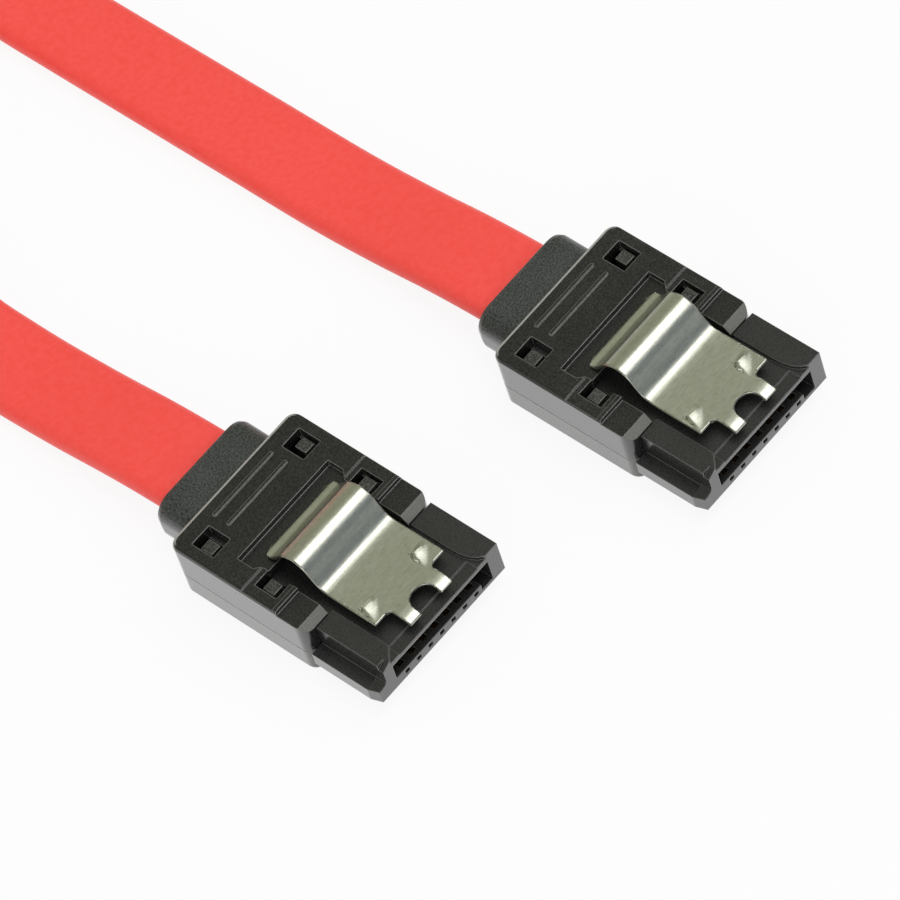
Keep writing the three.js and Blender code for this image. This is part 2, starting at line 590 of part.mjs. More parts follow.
function latchProfile() {
  const strip = LATCH_STRIP_HEIGHT;
  const plate = LATCH_PLATE_HEIGHT;
  const stepsFrom = (y, z, steps) => steps.map(([along, up]) => [y + along, z + up]);
  return stripOutline([
    [LATCH_REAR, strip],
    ...stepsFrom(LATCH_REAR - LATCH_STRIP_LENGTH, strip, LATCH_FOLD),
    ...stepsFrom(LATCH_HUMP_Y, strip + LATCH_HUMP_RISE, LATCH_CREST),
    ...stepsFrom(LATCH_CREASE_Y, plate, LATCH_CREASE),
    [LATCH_FRONT, plate], [TONGUE_TIP_Y + TONGUE_BEND + TONGUE_CURL.lead, plate],
    [TONGUE_TIP_Y + TONGUE_BEND * TONGUE_CURL.share, plate - TONGUE_DROP * TONGUE_CURL.dropShare],
    [TONGUE_TIP_Y, plate - TONGUE_DROP]], LATCH_THICKNESS, 66);
}

function latchPlan() {
  const half = LATCH_WIDTH / 2;
  const tip = TONGUE_TIP_Y - OVERRUN;
  const notchY = LATCH_FRONT - TONGUE_INNER - TONGUE_NOTCH_DEPTH;
  const shape = new THREE.Shape();
  shape.moveTo(-half, LATCH_REAR + OVERRUN);
  shape.lineTo(-half, LATCH_FRONT);
  shape.lineTo(-TONGUE_OUTER - TONGUE_FILLET, LATCH_FRONT);
  shape.quadraticCurveTo(-TONGUE_OUTER, LATCH_FRONT, -TONGUE_OUTER, LATCH_FRONT - TONGUE_FILLET);
  shape.lineTo(-TONGUE_OUTER, tip);
  shape.lineTo(-TONGUE_INNER, tip);
  shape.lineTo(-TONGUE_INNER, notchY);
  shape.absarc(0, notchY, TONGUE_INNER, Math.PI, 0, true);
  shape.lineTo(TONGUE_INNER, tip);
  shape.lineTo(TONGUE_OUTER, tip);
  shape.lineTo(TONGUE_OUTER, LATCH_FRONT - TONGUE_FILLET);
  shape.quadraticCurveTo(TONGUE_OUTER, LATCH_FRONT, TONGUE_OUTER + TONGUE_FILLET, LATCH_FRONT);
  shape.lineTo(half, LATCH_FRONT);
  shape.lineTo(half, LATCH_REAR + OVERRUN);
  return shape;
}

function barb(side) {
  const cone = new THREE.ConeGeometry(Math.SQRT1_2, 1, 4, 1).rotateX(Math.PI / 2).rotateZ(Math.PI / 4);
  cone.scale(BARB_WIDTH, BARB_LENGTH, BARB_HEIGHT + LATCH_THICKNESS / 2);
  const middle = LATCH_PLATE_HEIGHT + (BARB_HEIGHT + LATCH_THICKNESS / 2) / 2;
  return toSolid(cone.translate(side * BARB_X, BARB_Y, middle));
}

function latchSpring(name) {
  const half = LATCH_WIDTH / 2;
  const leaf = sidePrism(latchProfile(), -half - OVERRUN, half + OVERRUN);
  const trimmed = leaf.intersect(planPrism(latchPlan(), 0, SHELL_HEIGHT + LATCH_HUMP_RISE + OVERRUN));
  const tail = block(-LATCH_TAIL_HALF_WIDTH, LATCH_TAIL_HALF_WIDTH, LATCH_REAR - LATCH_THICKNESS,
    LATCH_REAR, LATCH_STRIP_HEIGHT - LATCH_TAIL_LENGTH, LATCH_STRIP_HEIGHT + LATCH_THICKNESS / 4);
  const mesh = toMesh(name, join(trimmed, tail, barb(-1), barb(1)), 'springSteel');
  mesh.position.x = LATCH_CENTRE;
  return mesh;
}

// One plug: insulator, contacts, wires, two-part shell, strain relief and latch

function plug(end) {
  const group = new THREE.Group();
  group.add(nose(`nose_${end}`));
  for (const index of contactIndexes()) {
    group.add(contact(`contact_${end}_${index + 1}`, contactX(index)));
    const kind = isGround(index) ? 'drain_wire' : 'core_wire';
    group.add(wire(`${kind}_${end}_${index + 1}`, index));
  }
  group.add(upperShell(`upper_shell_${end}`));
  group.add(lowerShell(`lower_shell_${end}`));
  group.add(strainRelief(`strain_relief_${end}`));
  group.add(latchSpring(`latch_spring_${end}`));
  return group;
}

// Cable: a flat leg behind each plug and the coil that holds the rest of its length

function flatSection(path) {
  const frames = path.computeFrenetFrames(1, false);
  const radius = CABLE_THICKNESS / 2;
  const straight = CABLE_WIDTH / 2 - radius;
  const steps = [-60, -20, 20, 60].map((degrees) => THREE.MathUtils.degToRad(degrees));
  const right = steps.map((angle) => [straight + radius * Math.cos(angle), radius * Math.sin(angle)]);
  const left = right.map(([across, up]) => [-across, -up]);
  const toFrame = ([across, up]) => {
    const offset = new THREE.Vector3(across, 0, up);
    return new THREE.Vector2(offset.dot(frames.normals[0]), offset.dot(frames.binormals[0]));
  };
  return new THREE.Shape([...right, ...left].map(toFrame));
}

function cableLeg(name, points, steps) {
  const path = new THREE.CatmullRomCurve3(points.map((point) => new THREE.Vector3(...point)));
  const geometry = new THREE.ExtrudeGeometry(flatSection(path), { steps, extrudePath: path });
  return toMesh(name, toSolid(geometry), 'redJacket');
}

// The leg of plug A runs straight back and bends left into the coil.
function legA() {
  const x = plugAX();
  const y = plugAY();
  return cableLeg('cable_leg_a', [
    [x, y + CABLE_END, CABLE_HEIGHT], [x, y + SHELL_REAR, CABLE_HEIGHT],
    [x, y + RELIEF_REAR + 1, CABLE_HEIGHT], [x, y + 29, 2.5], [x, y + 35, 1.6],
    [x, y + 41, 1.05], [x, y + 47, 1.05], [x, y + 52, 1.4], [x - 0.9, y + 58.6, 2.2],
    [x - 3.1, y + 63.1, 2.9], [x - 6.8, y + 67.1, 3.4]], 22);
}

// The leg of plug B runs straight back, climbs and lies on the coil's outer turn.
function legB() {
  const x = plugAX() + PLUG_B_RIGHT;
  const y = plugAY() - PLUG_B_FORWARD;
  return cableLeg('cable_leg_b', [
    [x, y + CABLE_END, CABLE_HEIGHT], [x, y + SHELL_REAR, CABLE_HEIGHT],
    [x, y + RELIEF_REAR + 1, CABLE_HEIGHT], [x, y + 29, 2.5], [x, y + 35, 1.6],
    [x, y + 41, 1.05], [x, y + 50, 1.05], [x, y + 60, 1.05], [x, y + 68, 1.05],
    [x, y + 74, 1.15], [x, y + 78, 1.75], [x, y + 82, 3.05], [x, y + 86, 4.9],
    [x, y + 90, 6.7], [x - 0.1, y + 94, 8.0], [x - 0.3, y + 98, 8.6],
    [x - 0.8, y + 103, 8.65], [x - 1.6, y + 108.5, 8.65], [x - 2.6, y + 114.5, 8.65]], 36);
}

function coilEdges() {
  const spread = COIL_TURNS * COIL_PITCH / 2 + CABLE_THICKNESS / 2 + COIL_MARGIN;
  return { inner: COIL_RADIUS - spread, outer: COIL_RADIUS + spread };
}

function coil(name) {
  const { inner, outer } = coilEdges();
  const profile = [[inner, 0], [outer, 0], [outer, CABLE_WIDTH], [inner, CABLE_WIDTH], [inner, 0]];
  const ring = new THREE.LatheGeometry(profile.map(([x, y]) => new THREE.Vector2(x, y)), 48);
  const solid = toSolid(ring.rotateX(Math.PI / 2).translate(COIL_X, COIL_Y, 0));
  const groove = block(COIL_X - TIE_WIDTH / 2 - TIE_GAP, COIL_X + TIE_WIDTH / 2 + TIE_GAP,
    COIL_Y + inner - OVERRUN, COIL_Y + outer + OVERRUN, -OVERRUN, TIE_THICKNESS + TIE_GAP);
  return toMesh(name, cut(solid, groove), 'redJacket');
}

// A flat strap closed round the bundle at the far side of the coil.
function tie(name) {
  const { inner, outer } = coilEdges();
  const innerSide = COIL_Y + Math.sqrt(inner ** 2 - (TIE_WIDTH / 2) ** 2) - TIE_GAP;
  const outerSide = COIL_Y + outer + TIE_GAP;
  const top = CABLE_WIDTH + TIE_GAP;
  const frame = polygon([
    [innerSide - TIE_THICKNESS, 0], [outerSide + TIE_THICKNESS, 0],
    [outerSide + TIE_THICKNESS, top + TIE_THICKNESS], [innerSide - TIE_THICKNESS, top + TIE_THICKNESS]]);
  frame.holes.push(new THREE.Path([
    new THREE.Vector2(innerSide, TIE_THICKNESS), new THREE.Vector2(innerSide, top),
    new THREE.Vector2(outerSide, top), new THREE.Vector2(outerSide, TIE_THICKNESS)]));
  return toMesh(name, sidePrism(frame, COIL_X - TIE_WIDTH / 2, COIL_X + TIE_WIDTH / 2), 'blackTie');
}

// The origin is on the surface, under the middle of the box round both plugs.
function plugAX() {
  return -PLUG_B_RIGHT / 2;
}

function plugAY() {
  return (PLUG_B_FORWARD - RELIEF_REAR) / 2;
}

function cable() {
  const object = new THREE.Group();
  const plugA = plug('a');
  plugA.position.set(plugAX(), plugAY(), 0);
  const plugB = plug('b');
  plugB.position.set(plugAX() + PLUG_B_RIGHT, plugAY() - PLUG_B_FORWARD, 0);
  object.add(plugA, plugB, legA(), legB(), coil('cable_coil'), tie('cable_tie'));
  return object;
}

export default cable();
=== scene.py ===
"""Looks of a flat serial ATA data cable with a latching plug on each end.

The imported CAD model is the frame. Sizes are in millimetres in the classes and are turned to
metres where a mesh is made.
"""

import logging
import math
from dataclasses import dataclass, field
from enum import Enum
from typing import ClassVar, Sequence

import bmesh
import bpy
from mathutils import Matrix, Vector


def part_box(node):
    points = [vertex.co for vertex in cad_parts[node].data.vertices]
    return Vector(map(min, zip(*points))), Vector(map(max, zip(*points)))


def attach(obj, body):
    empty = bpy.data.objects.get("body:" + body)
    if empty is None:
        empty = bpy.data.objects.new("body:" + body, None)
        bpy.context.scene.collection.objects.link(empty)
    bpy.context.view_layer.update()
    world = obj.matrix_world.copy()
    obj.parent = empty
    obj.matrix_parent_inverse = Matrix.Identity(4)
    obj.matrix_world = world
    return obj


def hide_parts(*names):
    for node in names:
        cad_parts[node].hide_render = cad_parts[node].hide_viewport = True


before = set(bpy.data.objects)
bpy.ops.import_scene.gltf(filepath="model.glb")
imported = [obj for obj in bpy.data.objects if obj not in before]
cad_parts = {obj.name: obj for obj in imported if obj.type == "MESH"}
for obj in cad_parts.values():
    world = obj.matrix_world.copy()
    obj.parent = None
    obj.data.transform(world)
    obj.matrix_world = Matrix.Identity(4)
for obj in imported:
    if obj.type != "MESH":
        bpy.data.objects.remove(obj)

LOG = logging.getLogger("cable")

# a millimetre in metres, and the least angle of an edge that the bevels round
MM = 0.001
SHARP_ANGLE = math.radians(50)

Point = tuple[float, float, float]
Profile = tuple[tuple[float, float], ...]


class End(Enum):
    """One end of the cable: its letter and the place of its plug's own origin in the frame."""

    A = ("a", -12.7, -6.925)
    B = ("b", 12.7, -16.125)

    @property
    def letter(self) -> str:
        """The suffix of this end's nodes and bodies."""
        return self.value[0]

    @property
    def origin(self) -> Vector:
        """The plug's origin in millimetres."""
        return Vector((self.value[1], self.value[2], 0.0))


# ---- shared helpers


def linear(hex_colour: str) -> tuple[float, float, float, float]:
    """Turns an sRGB hex colour into linear light.

    Args:
        hex_colour: Six hex digits, with or without a leading mark.

    Returns:
        Red, green, blue and alpha in linear light.
    """
    digits = hex_colour.lstrip("#")
    values = [int(digits[i:i + 2], 16) / 255 for i in (0, 2, 4)]
    light = [v / 12.92 if v <= 0.04045 else ((v + 0.055) / 1.055) ** 2.4 for v in values]
    return light[0], light[1], light[2], 1.0


def add_node(tree: bpy.types.NodeTree, kind: str, settings: dict | None = None,
             links: dict | None = None) -> bpy.types.Node:
    """Adds a node, sets it up and links its inputs.

    Args:
        tree: The node tree that takes the node.
        kind: The node's Blender type name.
        settings: Attribute names, or input names or numbers, with their values.
        links: Input names or numbers with the output sockets that feed them.

    Returns:
        The new node.
    """
    node = tree.nodes.new(kind)
    for key, value in (settings or {}).items():
        if isinstance(key, str) and hasattr(node, key):
            setattr(node, key, value)
        else:
            node.inputs[key].default_value = value
    for key, socket in (links or {}).items():
        tree.links.new(socket, node.inputs[key])
    return node


def new_material(name: str) -> tuple[bpy.types.Material, bpy.types.NodeTree]:
    """Makes an empty node material.

    Args:
        name: The material's name.

    Returns:
        The material and its node tree, with no nodes in it.
    """
    material = bpy.data.materials.new(name)
    material.use_nodes = True
    material.node_tree.nodes.clear()
    return material, material.node_tree


def mesh_object(name: str, points: Sequence[Sequence[float]], faces: Sequence[Sequence[int]],
                material: bpy.types.Material) -> bpy.types.Object:
    """Makes a smooth-shaded mesh object from points in millimetres.

    Args:
        name: The object's name.
        points: The vertices, in millimetres.
        faces: Vertex numbers of each face.
        material: Its only material.

    Returns:
        The linked object.
    """
    mesh = bpy.data.meshes.new(name)
    mesh.from_pydata([tuple(c * MM for c in p) for p in points], [], faces)
    mesh.materials.append(material)
    mesh.polygons.foreach_set("use_smooth", [True] * len(mesh.polygons))
    built = bpy.data.objects.new(name, mesh)
    bpy.context.scene.collection.objects.link(built)
    return built


def smooth_line(points: Sequence[Sequence[float]], steps: int) -> list[Vector]:
    """Samples a centripetal Catmull-Rom curve, the kind that the solids follow.

    Args:
        points: The points that the curve passes through.
        steps: Samples per span.

    Returns:
        The samples, ends included.
    """
    known = [Vector(p) for p in points]
    known = [known[0] * 2 - known[1], *known, known[-1] * 2 - known[-2]]
    line = []
    for i in range(len(known) - 3):
        p0, p1, p2, p3 = known[i:i + 4]
        d0, d1, d2 = (math.sqrt(max((b - a).length, 1e-9)) for a, b in ((p0, p1), (p1, p2), (p2, p3)))
        m1 = ((p1 - p0) / d0 - (p2 - p0) / (d0 + d1) + (p2 - p1) / d1) * d1
        m2 = ((p2 - p1) / d1 - (p3 - p1) / (d1 + d2) + (p3 - p2) / d2) * d1
        for step in range(steps):
            t = step / steps
            line.append(p1 + m1 * t + (p1 * -3 + p2 * 3 - m1 * 2 - m2) * t ** 2
                        + (p1 * 2 - p2 * 2 + m1 + m2) * t ** 3)
    return [*line, known[-2]]


def ease(value: float) -> float:
    """Returns value held between 0 and 1 and eased at both ends."""
    held = min(max(value, 0.0), 1.0)
    return held * held * (3 - 2 * held)


# ---- finishes


@dataclass(frozen=True)
class MouldedPlastic:
    """A moulded or extruded thermoplastic, with the fine grain that its tool left on it.

    A mould that opens drags along its side walls, so these come out smoother than the top, and
    a moulded edge is rounded by about a tenth of a millimetre.
    """

    name: str
    colour: str
    low_colour: str
    roughness: float
    grain_mm: float
    depth_mm: float
    edge_mm: float = 0.14
    side_roughness: float = 0.22
    side_shine: float = 1.0
    ior: float = 1.52
    # the colour of the painted highlights, and how strongly they are painted along edges, on forward
    # slopes and on edges towards the cable
    painted_highlight_colour: str = "#A2A29B"
    edge_highlight: float = 0.7
    slope_highlight: float = 0.0
    rear_edge_highlight: float = 0.0
    tip_from: float = 0.38
    tip_to: float = 0.62
    drift_mm: float = 4.0
    speck_share: float = 0.65
    side_depth: float = 0.2
    worn_tool_depth: float = 0.45

    def build(self) -> bpy.types.Material:
        """Builds the material: grain in the relief, a little drift in colour and gloss, and highlights
        painted paler into the colour along edges and slopes.

        Returns:
            The material.
        """
        material, tree = new_material(self.name)
        place = add_node(tree, "ShaderNodeTexCoord").outputs["Object"]
        grain = add_node(tree, "ShaderNodeTexNoise",
                         {"Scale": 1 / (self.grain_mm * MM), "Detail": 2.0, "Roughness": 0.6},
                         {"Vector": place})
        drift = add_node(tree, "ShaderNodeTexNoise", {"Scale": 1 / (self.drift_mm * MM), "Detail": 3.0},
                         {"Vector": place})
        # the grain's tips are paler than its pits, and the colour drifts a little over the part
        speck = add_node(tree, "ShaderNodeMapRange",
                         {"From Min": self.tip_from, "From Max": self.tip_to},
                         {"Value": grain.outputs[0]})
        speck = add_node(tree, "ShaderNodeMix", {0: self.speck_share},
                         {2: drift.outputs[0], 3: speck.outputs[0]})
        tint = add_node(tree, "ShaderNodeMix",
                        {"data_type": "RGBA", 6: linear(self.low_colour), 7: linear(self.colour)},
                        {0: speck.outputs[0]})
        # the drafted side walls slide along the tool as it opens, and come out smoother
        facing = add_node(tree, "ShaderNodeSeparateXYZ", None,
                          {0: add_node(tree, "ShaderNodeNewGeometry").outputs["Normal"]})
        top = add_node(tree, "ShaderNodeMapRange", {"From Min": 0.2, "From Max": 0.7},
                       {"Value": facing.outputs["Z"]})
        gloss = add_node(tree, "ShaderNodeMapRange",
                         {"From Min": 0.3, "From Max": 0.7, "To Min": self.roughness - 0.08,
                          "To Max": self.roughness + 0.1}, {"Value": grain.outputs[0]})
        gloss = add_node(tree, "ShaderNodeMix", {2: self.side_roughness},
                         {0: top.outputs[0], 3: gloss.outputs[0]})
        # the grain is a little shallower in places, as the tool wears
        depth = add_node(tree, "ShaderNodeMapRange",
                         {"From Min": 0.35, "From Max": 0.65, "To Min": self.worn_tool_depth},
                         {"Value": drift.outputs[0]})
        depth = add_node(tree, "ShaderNodeMix", {2: self.side_depth},
                         {0: top.outputs[0], 3: depth.outputs[0]})
        edge = add_node(tree, "ShaderNodeBevel", {"samples": 8, "Radius": self.edge_mm * MM})
        # highlights are painted into the base colour: paler along edges, on forward slopes and on edges
        # towards the cable
        if self.edge_highlight > 0:
            highlight = self.painted_highlight_share(tree, edge.outputs[0], facing, top)
            tint = add_node(tree, "ShaderNodeMix", {"data_type": "RGBA", 7: linear(self.painted_highlight_colour)},
                            {0: highlight, 6: tint.outputs[2]})
        relief = add_node(tree, "ShaderNodeBump", {"Distance": self.depth_mm * MM},
                          {"Strength": depth.outputs[0], "Height": grain.outputs[0],
                           "Normal": edge.outputs[0]})
        shader = add_node(tree, "ShaderNodeBsdfPrincipled",
                          {"IOR": self.ior, "Coat Roughness": self.side_roughness},
                          {"Base Color": tint.outputs[2], "Roughness": gloss.outputs[0],
                           "Normal": relief.outputs[0]})
        if self.side_shine > 0:
            # the side walls' closed skin shines like a thin coat over the grain
            skin = add_node(tree, "ShaderNodeMapRange", {"To Min": self.side_shine, "To Max": 0.0},
                            {"Value": top.outputs[0]})
            tree.links.new(skin.outputs[0], shader.inputs["Coat Weight"])
            tree.links.new(edge.outputs[0], shader.inputs["Coat Normal"])
        add_node(tree, "ShaderNodeOutputMaterial", None, {"Surface": shader.outputs[0]})
        return material

    def painted_highlight_share(self, tree: bpy.types.NodeTree, rounded: bpy.types.NodeSocket,
                   facing: bpy.types.Node, top: bpy.types.Node) -> bpy.types.NodeSocket:
        """Finds where highlights are painted paler into the colour: along edges, on forward slopes and
        on edges towards the cable.

        Args:
            tree: The material's node tree.
            rounded: The normal with the edges rounded.
            facing: The node that splits the true normal.
            top: The node that says how far the surface faces up.

        Returns:
            The socket that gives the share of painted highlight.
        """
        true = add_node(tree, "ShaderNodeNewGeometry").outputs["Normal"]
        # the rounded normal leaves the true one only along an edge, and there a highlight is painted
        # paler into the colour
        flat = add_node(tree, "ShaderNodeVectorMath", {"operation": "DOT_PRODUCT"},
                        {0: rounded, 1: true})
        highlight = add_node(tree, "ShaderNodeMapRange",
                        {"From Min": 0.985, "From Max": 0.8, "To Max": self.edge_highlight},
                        {"Value": flat.outputs["Value"]}).outputs[0]
        # a highlight is also painted on slopes that face forward and up, and on edges that face the
        # cable and up
        for least, most, share in ((-0.2, -0.45, self.slope_highlight), (0.12, 0.35, self.rear_edge_highlight)):
            if share > 0:
                slope = add_node(tree, "ShaderNodeMapRange",
                                 {"From Min": least, "From Max": most, "To Max": share},
                                 {"Value": facing.outputs["Y"]})
                slope = add_node(tree, "ShaderNodeMath", {"operation": "MULTIPLY"},
                                 {0: slope.outputs[0], 1: top.outputs[0]})
                highlight = add_node(tree, "ShaderNodeMath", {"operation": "MAXIMUM"},
                                {0: highlight, 1: slope.outputs[0]}).outputs[0]
        return highlight


@dataclass(frozen=True)
class RolledMetal:
    """A strip or wire of metal from the rolls, with fine lines along the rolling direction.

    The real lines are a few hundredths of a millimetre apart, too fine to show, so they are
    drawn about twice as coarse.
    """

    name: str
    colour: str
    low_colour: str
    roughness: float
    line_mm: float
    line_length_mm: float
    depth_mm: float
    drift_mm: float = 0.35

    def build(self) -> bpy.types.Material:
        """Builds the material: stretched noise gives the rolling lines in gloss and relief.

        Returns:
            The material.
        """
        material, tree = new_material(self.name)
        place = add_node(tree, "ShaderNodeTexCoord").outputs["Object"]
        stretch = add_node(tree, "ShaderNodeMapping",
                           {"Scale": (1 / (self.line_length_mm * MM), 1 / (self.line_mm * MM),
                                      1 / (self.line_mm * MM))}, {"Vector": place})
        lines = add_node(tree, "ShaderNodeTexNoise", {"Scale": 1.0, "Detail": 3.0},
                         {"Vector": stretch.outputs[0]})
        drift = add_node(tree, "ShaderNodeTexNoise", {"Scale": 1 / (self.drift_mm * MM), "Detail": 5.0},
                         {"Vector": place})
        tint = add_node(tree, "ShaderNodeMix",
                        {"data_type": "RGBA", 6: linear(self.low_colour), 7: linear(self.colour)},
                        {0: drift.outputs[0]})
        gloss = add_node(tree, "ShaderNodeMapRange",
                         {"From Min": 0.3, "From Max": 0.7, "To Min": self.roughness * 0.75,
                          "To Max": self.roughness * 1.3}, {"Value": lines.outputs[0]})
        relief = add_node(tree, "ShaderNodeBump", {"Strength": 1.0, "Distance": self.depth_mm * MM},
                          {"Height": lines.outputs[0]})
        shader = add_node(tree, "ShaderNodeBsdfPrincipled", {"Metallic": 1.0},
                          {"Base Color": tint.outputs[2], "Roughness": gloss.outputs[0],
                           "Normal": relief.outputs[0]})
        add_node(tree, "ShaderNodeOutputMaterial", None, {"Surface": shader.outputs[0]})
        return material


@dataclass(frozen=True)
class WovenStrap:
    """A narrow strap woven from nylon, warp and weft a thread apart."""

    # how far apart the bands of Blender's wave texture lie at a scale of 1, in metres
    WAVE_PITCH: ClassVar[float] = 0.314

    name: str
    colour: str
    low_colour: str
    thread_mm: float
    depth_mm: float = 0.06

    def build(self) -> bpy.types.Material:
        """Builds the material: two crossed waves make the threads.

        Returns:
            The material.
        """
        material, tree = new_material(self.name)
        place = add_node(tree, "ShaderNodeTexCoord").outputs["Object"]
        waves = [add_node(tree, "ShaderNodeTexWave",
                          {"bands_direction": axis, "Distortion": 0.6, "Detail": 2.0,
                           "Scale": self.WAVE_PITCH / (self.thread_mm * MM)}, {"Vector": place})
                 for axis in ("X", "DIAGONAL")]
        weave = add_node(tree, "ShaderNodeMath", {"operation": "MULTIPLY"},
                         {0: waves[0].outputs["Fac"], 1: waves[1].outputs["Fac"]})
        tint = add_node(tree, "ShaderNodeMix",
                        {"data_type": "RGBA", 6: linear(self.low_colour), 7: linear(self.colour)},
                        {0: weave.outputs[0]})
        relief = add_node(tree, "ShaderNodeBump", {"Strength": 1.0, "Distance": self.depth_mm * MM},
                          {"Height": weave.outputs[0]})
        shader = add_node(tree, "ShaderNodeBsdfPrincipled", {"Roughness": 0.8, "Sheen Weight": 0.2},
                          {"Base Color": tint.outputs[2], "Normal": relief.outputs[0]})
        add_node(tree, "ShaderNodeOutputMaterial", None, {"Surface": shader.outputs[0]})
        return material


# Black glass-filled polyester from a spark-eroded mould. It gives the eye a dark satin cover with a fine
# sparkle, with highlights painted grey along its edges and on its slopes. The real grain is about 0.03
# mm, too fine to show, so it is drawn at 0.15 mm.
SHELL_FINISH = MouldedPlastic(
    "black_polyester_spark_eroded", colour="#2D2D2C", low_colour="#0F0F0E", roughness=0.24,
    grain_mm=0.15, depth_mm=0.042, edge_mm=0.13, slope_highlight=0.45, rear_edge_highlight=1.0)
# The same polyester in the lower half's own mould. It gives the snap heads that show in the windows
# a tone paler than the cover's. Its grain is drawn as coarse as the cover's, for the same reason.
TRAY_FINISH = MouldedPlastic(
    "black_polyester_tray", colour="#565651", low_colour="#141413", roughness=0.24,
    grain_mm=0.15, depth_mm=0.042, edge_mm=0.13)
# Black polyester from a polished mould. It gives the nose a smooth, even, slightly greyer face with
# crisp edges, on which highlights are painted paler. Its faint grain, really about 0.02 mm, is drawn at
# 0.12 mm to show at all.
NOSE_FINISH = MouldedPlastic(
    "black_polyester_smooth", colour="#343433", low_colour="#242423", roughness=0.30,
    grain_mm=0.12, depth_mm=0.014, edge_mm=0.10, edge_highlight=0.45)
# Black soft vinyl, overmoulded on the cable. It gives a rubbery, speckled collar with soft edges and
# a dull shine down its sides. The specks are drawn about twice as coarse as they are.
RELIEF_FINISH = MouldedPlastic(
    "black_soft_vinyl", colour="#525653", low_colour="#131413", roughness=0.32,
    grain_mm=0.15, depth_mm=0.07, edge_mm=0.2, side_roughness=0.3, tip_from=0.4, tip_to=0.66)
# Coral red vinyl, extruded over the wires. It gives an even, saturated colour with a broad soft shine
# and only a faint waviness, half a millimetre wide, from the die.
JACKET_FINISH = MouldedPlastic(
    "coral_red_vinyl_extruded", colour="#FF5349", low_colour="#FB4B41", roughness=0.42,
    grain_mm=0.5, depth_mm=0.004, edge_mm=0.05, side_roughness=0.42, side_shine=0.0, ior=1.5, edge_highlight=0.0)
# White polyethylene, extruded on each signal wire. It gives a waxy, nearly plain white.
CORE_FINISH = MouldedPlastic(
    "white_polyethylene_extruded", colour="#E8E6DE", low_colour="#DEDBD2", roughness=0.4,
    grain_mm=0.3, depth_mm=0.002, edge_mm=0.02, side_roughness=0.4, side_shine=0.0, ior=1.5, edge_highlight=0.0)
# Stainless spring steel, bright from the rolls. It gives a warm grey leaf that mirrors the lamps as
# soft bands at its bends, and fine lines across its width.
LATCH_FINISH = RolledMetal(
    "stainless_steel_bright_rolled", colour="#D6D7CA", low_colour="#B6B7AA", roughness=0.32,
    line_mm=0.05, line_length_mm=1.2, depth_mm=0.0002)
# Phosphor bronze strip, gold plated. It gives the contacts a deep yellow glint inside the slot.
CONTACT_FINISH = RolledMetal(
    "phosphor_bronze_gold_plated", colour="#E2BE6A", low_colour="#D2A94E", roughness=0.25,
    line_mm=0.04, line_length_mm=0.3, depth_mm=0.0004)
# Copper wire, hot tinned. It gives the bare wires a pale grey, slightly uneven shine.
DRAIN_FINISH = RolledMetal(
    "copper_wire_tinned", colour="#D0CEC8", low_colour="#BDBAB2", roughness=0.3,
    line_mm=0.05, line_length_mm=0.05, depth_mm=0.0004)
# Black nylon, woven. It gives the strap a matt, ribbed face. Its threads are 0.35 mm apart.
STRAP_FINISH = WovenStrap(
    "black_nylon_woven", colour="#2A2A2C", low_colour="#0E0E10", thread_mm=0.35)


# ---- camera, floor and light


@dataclass(frozen=True)
class Softbox:
    """A soft light that faces the object: its centre, its two sides and its power."""

    name: str
    place_mm: Point
    size_mm: tuple[float, float]
    watts: float

    def hang(self) -> None:
        """Makes the light."""
        data = bpy.data.lights.new(self.name, "AREA")
        data.shape = "RECTANGLE"
        data.size, data.size_y = self.size_mm[0] * MM, self.size_mm[1] * MM
        data.energy = self.watts
        lamp = bpy.data.objects.new(self.name, data)
        away = Vector(self.place_mm).normalized()
        side = Vector((0, 1, 0)).cross(away).normalized()
        axes = Matrix((side, away.cross(side), away)).transposed()
        lamp.matrix_world = Matrix.Translation(Vector(self.place_mm) * MM) @ axes.to_4x4()
        bpy.context.scene.collection.objects.link(lamp)


